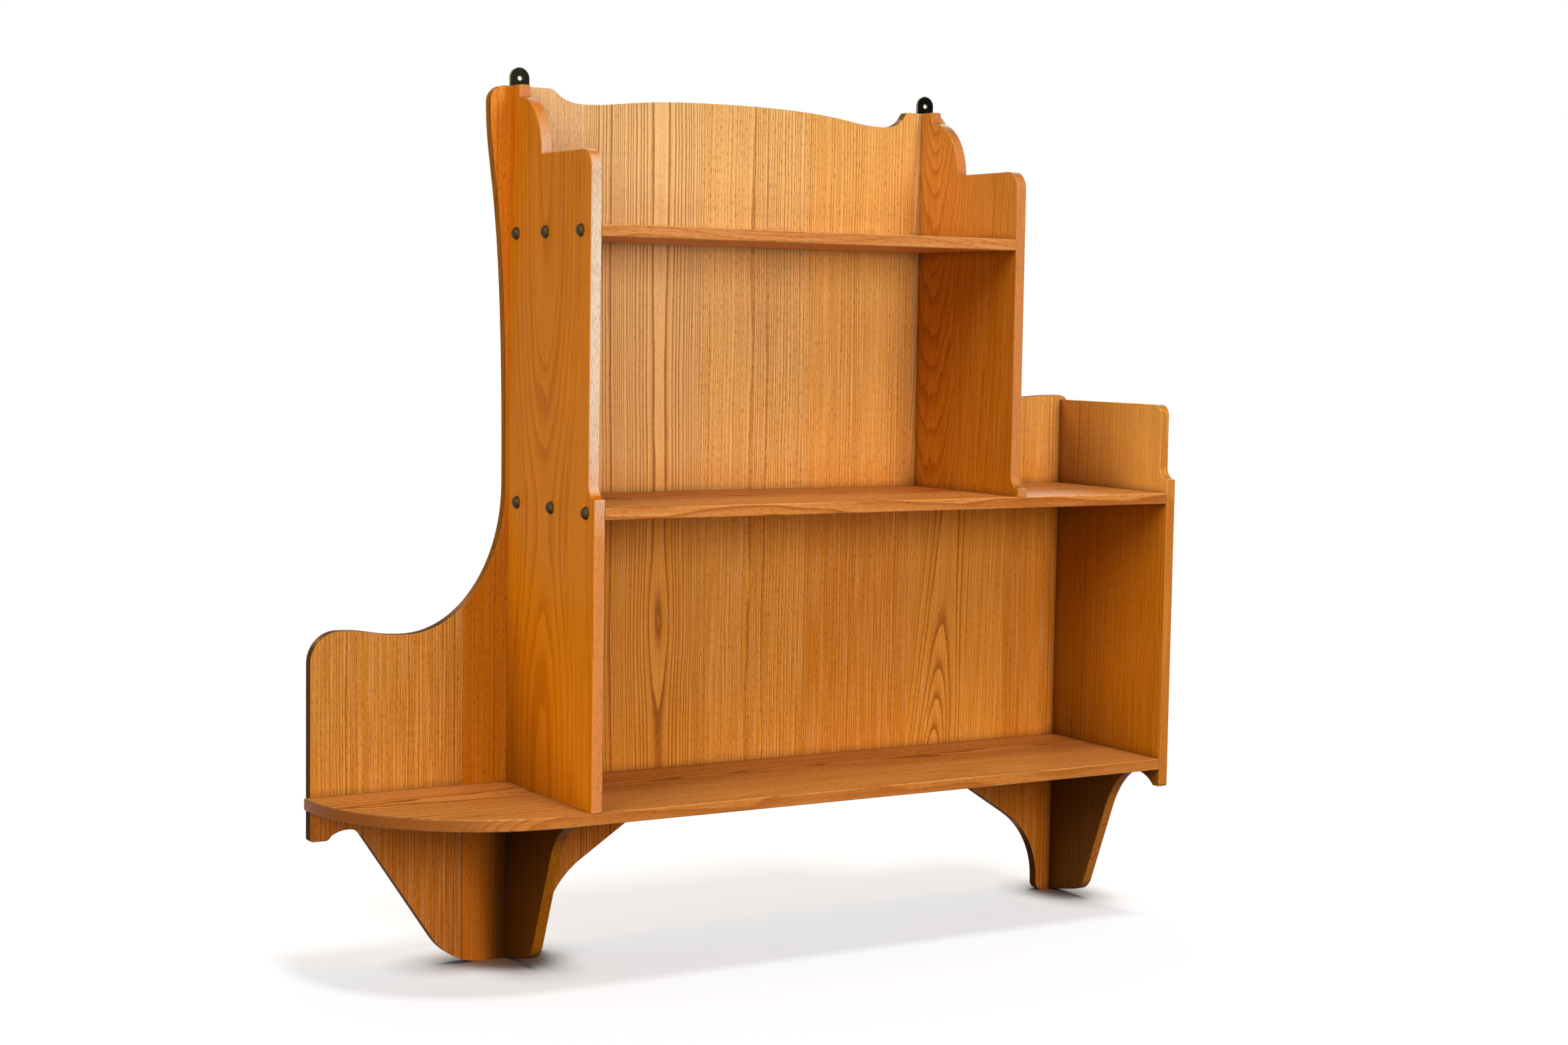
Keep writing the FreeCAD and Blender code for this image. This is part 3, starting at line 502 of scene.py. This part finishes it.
    def grained(self, colour):
        """Rings, pores and pale fibres in the stain."""
        graph, plank = self.graph, self.plank
        rise = FADED_AND_LIT_CONTRAST if plank.grain == BACK else 0.0
        strength = graph.scaled(self.faded_and_lit, rise * plank.contrast, plank.contrast)
        colour = graph.mix(graph.product(self.early, strength), colour, EARLY_TINT, "MULTIPLY")
        colour = graph.mix(self.dashes, colour, PORE_TINT, "MULTIPLY")
        pale = graph.product(graph.ramp(self.fibre, *PALE_FIBRE), graph.rest(self.early))
        share = graph.scaled(self.inside, plank.pores) if plank.stain in OUTER_SHADED_STAIN else plank.pores
        return graph.coat(colour, graph.product(pale, share), STREAK)

    def levelled(self, colour):
        """Light and dark by fibre and cloud, and painted light on the back just above the shelves."""
        graph, plank = self.graph, self.plank
        level = graph.maths("ADD", graph.scaled(self.fibre, FIBRE_RANGE, plank.tone - FIBRE_RANGE / 2),
                          graph.scaled(self.cloud, CLOUD_RANGE, -CLOUD_RANGE / 2))
        if plank.grain == BACK:
            seen = graph.product(self.inside, graph.rest(self.rear))
            for shelf, stops in PAINTED_BAY_LIGHT.items():
                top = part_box(shelf)[1][2]
                lit = graph.ramp(graph.scaled(self.along, 1.0, TOP_AT - top), *stops)
                level = graph.maths("ADD", level, graph.product(lit, seen))
        return graph.brightness(colour, level)

    def back_edges(self, colour):
        """Dark sawn edges, partly stain and partly painted shade, and dirt in the joints of the feet and the
        rear.
        """
        graph = self.graph
        sawn = graph.ramp(self.sawn, *SAWN_STAIN_AND_SHADE)
        if self.plank.stain in OUTER_SHADED_STAIN:
            sawn = graph.product(sawn, graph.ramp(self.inside, *OUTER_SAWN_SHARE))
        colour = graph.coat(colour, sawn, EDGE_STAIN_AND_SHADE)
        edges = [corner[0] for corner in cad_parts[self.name].bound_box]
        gap = graph.maths("MINIMUM", graph.scaled(self.across, 1.0, -min(edges)),
                        graph.scaled(self.across, -1.0, max(edges)))
        feet = graph.ramp(graph.scaled(self.along, -1.0), *FOOT_DIRT)
        patches = graph.noise(graph.place(self.along, 0.0, self.plank.seed), PATCH_CELLS)
        dirt = graph.product(graph.ramp(patches, *DIRT_PATCHES), graph.maths("MAXIMUM", feet, self.rear))
        joint = graph.ramp(graph.scaled(gap, JOINT_SCALE), *JOINT_DIRT)
        return graph.coat(colour, graph.product(joint, dirt), GRIME_AND_SHADE)

    def side_edges(self, colour):
        """Dark end grain, and a paler front edge, partly wear and partly painted light."""
        graph, plank = self.graph, self.plank
        colour = graph.coat(colour, graph.ramp(self.end_grain, *SIDE_END_STAIN), EDGE_STAIN_AND_SHADE)
        start, full = FRONT_FACE
        front = graph.ramp(self.ahead, (start, 0.0), (full, plank.worn))
        colour = graph.coat(colour, front, HANDLED_AND_LIT)
        if self.name in PALE_FRONT_EDGE:
            pale_front = graph.ramp(self.height, *PALE_FRONT_EDGE[self.name])
            colour = graph.coat(colour, graph.product(front, graph.scaled(pale_front, PALE_FRONT_SHARE)), WORN_AND_HIGHLIT)
        return self.flecked(colour, front)

    def shelf_edges(self, colour):
        """Dark end grain on the rounded end, and a nose with wear."""
        graph, plank = self.graph, self.plank
        colour = graph.coat(colour, graph.ramp(self.end_grain, *SHELF_END_STAIN), EDGE_STAIN_AND_SHADE)
        full, end = NOSE_FACE
        nose = graph.ramp(graph.maths("ABSOLUTE", self.turned["Z"]), (full, plank.worn), (end, 0.0))
        colour = graph.coat(colour, nose, NOSE)
        return self.flecked(colour, nose)

    def flecked(self, colour, share):
        """Open pores in a coated front edge or nose."""
        graph = self.graph
        return graph.coat(colour, graph.product(self.pores, graph.scaled(share, FLECK_SHARE)), FLECK)

    def rubbed_and_highlit(self, colour):
        """Pale arrises: partly wear, partly painted edge highlight."""
        graph = self.graph
        patches = graph.scaled(graph.noise(self.spot, RUB_CELLS, detail=3.0), RUB_RANGE)
        worn = graph.ramp(graph.product(graph.arris(self.eased, self.facing), patches), *ARRIS_WEAR_AND_HIGHLIGHT)
        return graph.coat(colour, worn, RUBBED_AND_HIGHLIT)

    def shaded_corners(self, colour):
        """Painted shade in the inner corners, left out outside the left upright."""
        graph = self.graph
        corner_shade = graph.ramp(graph.open_sky(CORNER_SHADE_REACH, CORNER_SHADE_SAMPLES), *CORNER_SHADE)
        if self.plank.stain in OUTER_SHADED_STAIN:
            corner_shade = graph.product(corner_shade, graph.ramp(self.inside, *INSIDE_SHARE))
        elif self.name in UNSHADED_OUTER_FACE:
            corner_shade = graph.product(corner_shade, graph.ramp(self.leftward, *UNSHADED_OUTER_FACE[self.name]))
        return graph.coat(colour, corner_shade, GRIME_AND_SHADE)

    def painted_shade(self, colour):
        """Painted shade in the bays and under the bottom shelf, darker where a point is less open."""
        graph, plank = self.graph, self.plank
        openness = graph.open_sky(OPENNESS_REACH, OPENNESS_SAMPLES)
        shade = graph.product(self.under, graph.ramp(openness, *UNDER_SHADE[plank.grain]))
        if plank.grain == BACK:
            return graph.coat(colour, graph.maths("MAXIMUM", shade, self.beside_bracket()), PAINTED_SHADE_COLOUR)
        if plank.stain != UNSHADED_BAY:
            bay = graph.ramp(openness, *BAY_SHADE)
            if plank.stain in PAINTED_LIGHT_ABOVE:
                bay = graph.mix(self.faded_and_lit, bay, graph.ramp(openness, *UPPER_BAY_SHADE))
            shade = graph.maths("MAXIMUM", shade, bay)
        shade = graph.product(shade, graph.ramp(self.ahead, *FRONT_EDGE_SHADE))
        return graph.coat(colour, shade, PAINTED_SHADE_COLOUR)

    def beside_bracket(self):
        """Painted shadow on the back beside the left bracket, below the bottom shelf."""
        graph = self.graph
        low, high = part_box("left_bracket")
        middle = (low[0] + high[0]) / 2
        beside = graph.maths("ABSOLUTE", graph.scaled(self.across, BRACKET_SCALE, -BRACKET_SCALE * middle))
        corner = graph.product(graph.ramp(beside, *BRACKET_SHADE), graph.rest(self.rear))
        return graph.product(self.under, corner)

    def material(self):
        """The whole finish."""
        graph, plank = self.graph, self.plank
        edges = {BACK: self.back_edges, SIDE: self.side_edges, SHELF: self.shelf_edges}[plank.grain]
        colour = edges(self.levelled(self.grained(self.stained())))
        colour = self.shaded_corners(self.rubbed_and_highlit(colour))
        if plank.grain != SHELF:
            colour = self.painted_shade(colour)
        height = graph.maths("SUBTRACT", graph.scaled(self.fibre, FIBRE_HEIGHT),
                           graph.scaled(self.dashes, PORE_DEPTH))
        gloss = graph.maths("ADD", graph.scaled(self.dashes, PORE_ROUGH, ROUGHNESS),
                          graph.scaled(self.cloud, CLOUD_ROUGH))
        if plank.grain == BACK:
            gloss = graph.maths("MAXIMUM", gloss, graph.ramp(self.sawn, *SAWN_ROUGH))
        return graph.finish(Base_Color=colour, Roughness=gloss,
                            Normal=graph.relief(RELIEF, RELIEF_DEPTH, height, self.eased),
                            Specular_IOR_Level=SIDE_SHINE if plank.grain == SIDE else SHINE,
                            Specular_Tint=SHINE_TINT)


def metal(name, alloy):
    """Aged metal: bright at the edges and in patches, partly wear and partly painted highlight, and dark
    elsewhere, partly tarnish and partly painted dark reflection.
    """
    graph = Graph(name)
    patina = graph.noise(graph.spot(), PATINA_CELLS, detail=4.0, roughness=0.6)
    eased = graph.eased(alloy.rim, RIM_SAMPLES)
    edges = graph.ramp(graph.arris(eased, graph.facing()), *RIM_WEAR_AND_HIGHLIGHT)
    rubbed_and_highlit = graph.maths("ADD", edges, graph.scaled(patina, alloy.polish), clamp=True)
    colour = graph.mix(rubbed_and_highlit, linear(alloy.tarnished), linear(alloy.polished))
    return graph.finish(Base_Color=colour, Roughness=graph.scaled(patina, PATINA_ROUGH, alloy.roughness),
                        Normal=graph.relief(METAL_RELIEF, FINE_RELIEF_DEPTH, patina, eased), Metallic=1.0)


def beech(name):
    """Plain turned beech for the dowels, with the short dark flecks of the wood."""
    graph = Graph(name)
    parts = graph.split(graph.spot())
    place = graph.place(graph.scaled(parts["X"], BEECH_CELLS), graph.scaled(parts["Y"], BEECH_CELLS),
                        graph.scaled(parts["Z"], BEECH_CELLS_ALONG))
    fleck = graph.ramp(graph.noise(place, 1.0), *BEECH_FLECKS)
    colour = graph.mix(fleck, linear(BEECH), linear(BEECH_FLECK))
    return graph.finish(Base_Color=colour, Roughness=BEECH_ROUGHNESS,
                        Normal=graph.relief(BEECH_RELIEF, FINE_RELIEF_DEPTH, fleck))


def paint(material, *names):
    """Give CAD pieces a material."""
    for name in names:
        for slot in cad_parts[name].material_slots:
            slot.material = material


def dress_part():
    """A finish for every piece of the shelf."""
    for name, plank in PLANKS.items():
        paint(Board(name, plank).material(), name)
    names = sorted(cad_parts)
    paint(metal("nail_bronze", BRONZE), *[name for name in names if name.endswith("_nails")])
    paint(metal("plate_brass", BRASS), "hanging_plate_left", "hanging_plate_right")
    paint(metal("screw_steel", STEEL), "back_screws", "hanging_plate_screws")
    paint(beech("dowel_beech"), *[name for name in names if name.endswith("_dowels")])


def seen_share(nodes, links):
    """1 for what the camera, a mirror or glass sees, 0 for the light that reaches the shelf."""
    path = nodes.new("ShaderNodeLightPath").outputs
    share = path["Is Camera Ray"]
    for ray in ("Is Glossy Ray", "Is Transmission Ray"):
        either = nodes.new("ShaderNodeMath")
        either.operation = "MAXIMUM"
        links.new(share, either.inputs[0])
        links.new(path[ray], either.inputs[1])
        share = either.outputs[0]
    return share


def add_floor():
    """A wide pale floor under the feet that keeps the shelf's shadow."""
    low = CAD_BOX[0][2]
    corners = [(-FLOOR_REACH, -FLOOR_REACH, low), (FLOOR_REACH, -FLOOR_REACH, low),
               (FLOOR_REACH, FLOOR_REACH, low), (-FLOOR_REACH, FLOOR_REACH, low)]
    mesh = bpy.data.meshes.new("floor")
    mesh.from_pydata(corners, [], [(0, 1, 2, 3)])
    floor = bpy.data.objects.new("floor", mesh)
    bpy.context.scene.collection.objects.link(floor)
    graph = Graph("floor_paper")
    seen = seen_share(graph.tree.nodes, graph.tree.links)
    shade = graph.scaled(seen, FLOOR_PALE - FLOOR_GREY, FLOOR_GREY)
    paper = graph.node("ShaderNodeBsdfDiffuse", {"Color": shade})
    # The glow dims where the floor is less open, near the feet: a painted contact shadow
    contact = graph.ramp(graph.open_sky(CONTACT_REACH, CONTACT_SAMPLES), *CONTACT_SHADOW)
    glow = graph.node("ShaderNodeEmission", {"Strength": graph.product(seen, contact)})
    both = graph.node("ShaderNodeAddShader", {0: paper.outputs[0], 1: glow.outputs[0]})
    output = graph.node("ShaderNodeOutputMaterial")
    graph.tree.links.new(both.outputs[0], output.inputs["Surface"])
    mesh.materials.append(graph.material)
    return floor


def add_surround():
    """An even white surround that lights the shelf at a lower level than it shows."""
    world = bpy.data.worlds.new("surround")
    world.use_nodes = True
    bpy.context.scene.world = world
    nodes, links = world.node_tree.nodes, world.node_tree.links
    nodes.clear()
    level = nodes.new("ShaderNodeMath")
    level.operation = "MULTIPLY_ADD"
    links.new(seen_share(nodes, links), level.inputs[0])
    level.inputs[1].default_value = 1.0 - SURROUND_LEVEL
    level.inputs[2].default_value = SURROUND_LEVEL
    background = nodes.new("ShaderNodeBackground")
    background.inputs["Color"].default_value = (1.0, 1.0, 1.0, 1.0)
    links.new(level.outputs[0], background.inputs["Strength"])
    output = nodes.new("ShaderNodeOutputWorld")
    links.new(background.outputs[0], output.inputs["Surface"])


def add_lights(floor):
    """Soft lamps in front, and wide studio lights from far off."""
    part_only = bpy.data.collections.new("part_only")
    part_only.objects.link(floor)
    part_only.collection_objects[0].light_linking.link_state = "EXCLUDE"
    for name, soft in LAMPS.items():
        disk = bpy.data.lights.new(name, "AREA")
        disk.shape = "DISK"
        disk.size = soft.size
        disk.energy = soft.watts
        lamp = bpy.data.objects.new(name, disk)
        lamp.location = soft.place
        lamp.rotation_euler = (LAMP_TARGET - lamp.location).to_track_quat("-Z", "Y").to_euler()
        lamp.light_linking.receiver_collection = part_only
        bpy.context.scene.collection.objects.link(lamp)
    for name, light in LIGHTS.items():
        sun = bpy.data.lights.new(name, "SUN")
        sun.angle = math.radians(light.spread)
        sun.energy = light.strength
        lamp = bpy.data.objects.new(name, sun)
        lamp.rotation_euler = (-Vector(light.towards)).to_track_quat("-Z", "Y").to_euler()
        if not light.floor:
            lamp.light_linking.receiver_collection = part_only
        bpy.context.scene.collection.objects.link(lamp)


def add_camera():
    """The photograph's camera."""
    yaw, pitch, roll = [math.radians(angle) for angle in (CAMERA_YAW, CAMERA_PITCH, CAMERA_ROLL)]
    ahead = Vector((math.sin(yaw) * math.cos(pitch), math.cos(yaw) * math.cos(pitch), math.sin(pitch)))
    level = Vector((math.cos(yaw), -math.sin(yaw), 0.0))
    above = level.cross(ahead)
    right = level * math.cos(roll) + above * math.sin(roll)
    up = above * math.cos(roll) - level * math.sin(roll)
    data = bpy.data.cameras.new("camera")
    data.sensor_fit = "HORIZONTAL"
    data.sensor_width = CAMERA_SENSOR
    data.lens = CAMERA_LENS
    camera = bpy.data.objects.new("camera", data)
    turned = Matrix((right, up, -ahead)).transposed().to_4x4()
    camera.matrix_world = Matrix.Translation(CAMERA_PLACE) @ turned
    bpy.context.scene.collection.objects.link(camera)
    bpy.context.scene.camera = camera


bpy.context.scene.view_settings.view_transform = "Standard"
dress_part()
studio_floor = add_floor()
add_surround()
add_lights(studio_floor)
add_camera()
